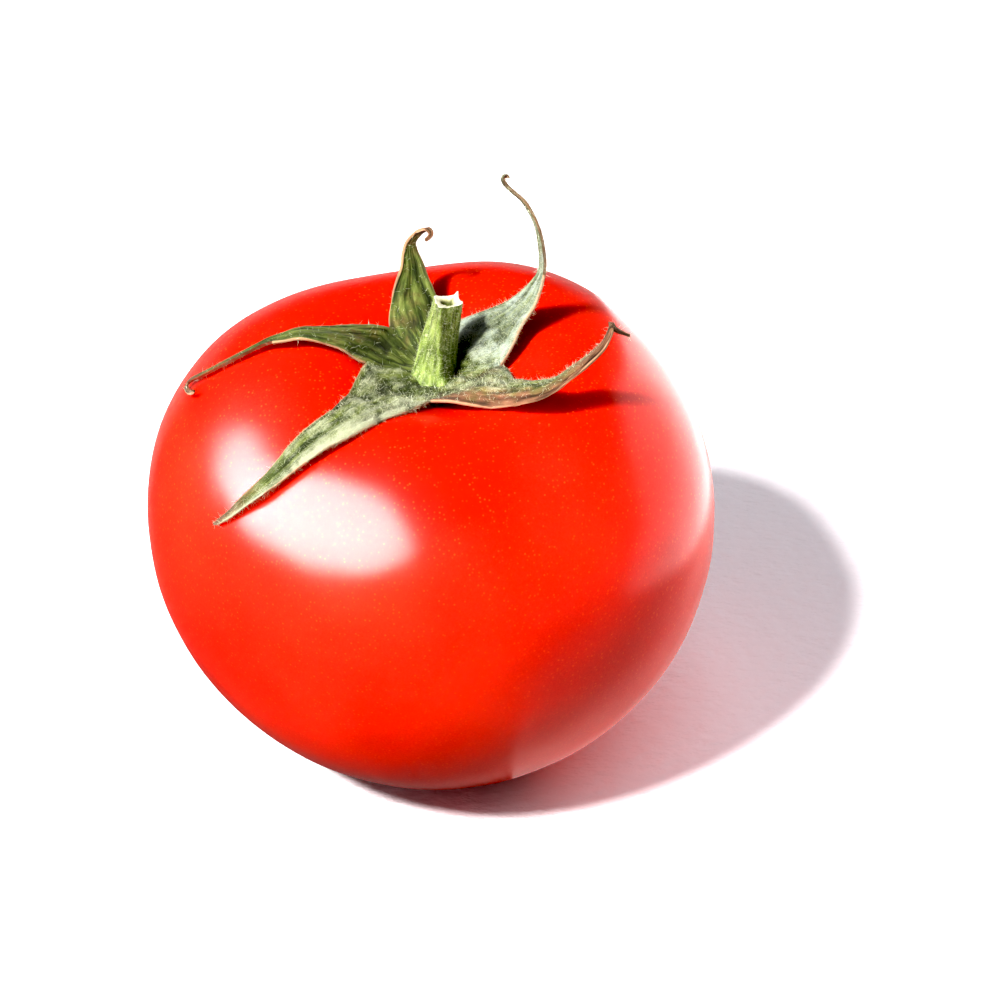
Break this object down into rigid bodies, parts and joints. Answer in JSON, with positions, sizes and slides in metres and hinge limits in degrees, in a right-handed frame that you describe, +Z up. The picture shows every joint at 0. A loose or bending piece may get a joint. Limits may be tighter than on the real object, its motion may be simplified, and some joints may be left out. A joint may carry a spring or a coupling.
{
  "type": "tomato",
  "caption": "Ripe round tomato with a stub of stalk and a dried calyx whose sepals curl over its shoulders, resting on its blossom end.",
  "frame": {"origin": "on the flat resting spot at the blossom end, straight under the middle of the fruit", "axes": "+Z up from the resting spot towards the stalk, -Y towards the side that the picture shows, +X to its right"},
  "size_m": [0.0688, 0.0639, 0.0762],
  "materials": {
    "tomato_skin": "smooth waxy red skin with fine pale orange flecks",
    "dried_sepal": "matte, creased along its length, with short pale hairs and brown tips",
    "green_stalk": "ribbed and hairy, with a pale torn end"
  },
  "bodies": {
    "root": {"fruit": "tomato_skin", "calyx": "dried_sepal", "stem": "green_stalk"}
  },
  "joints": []
}
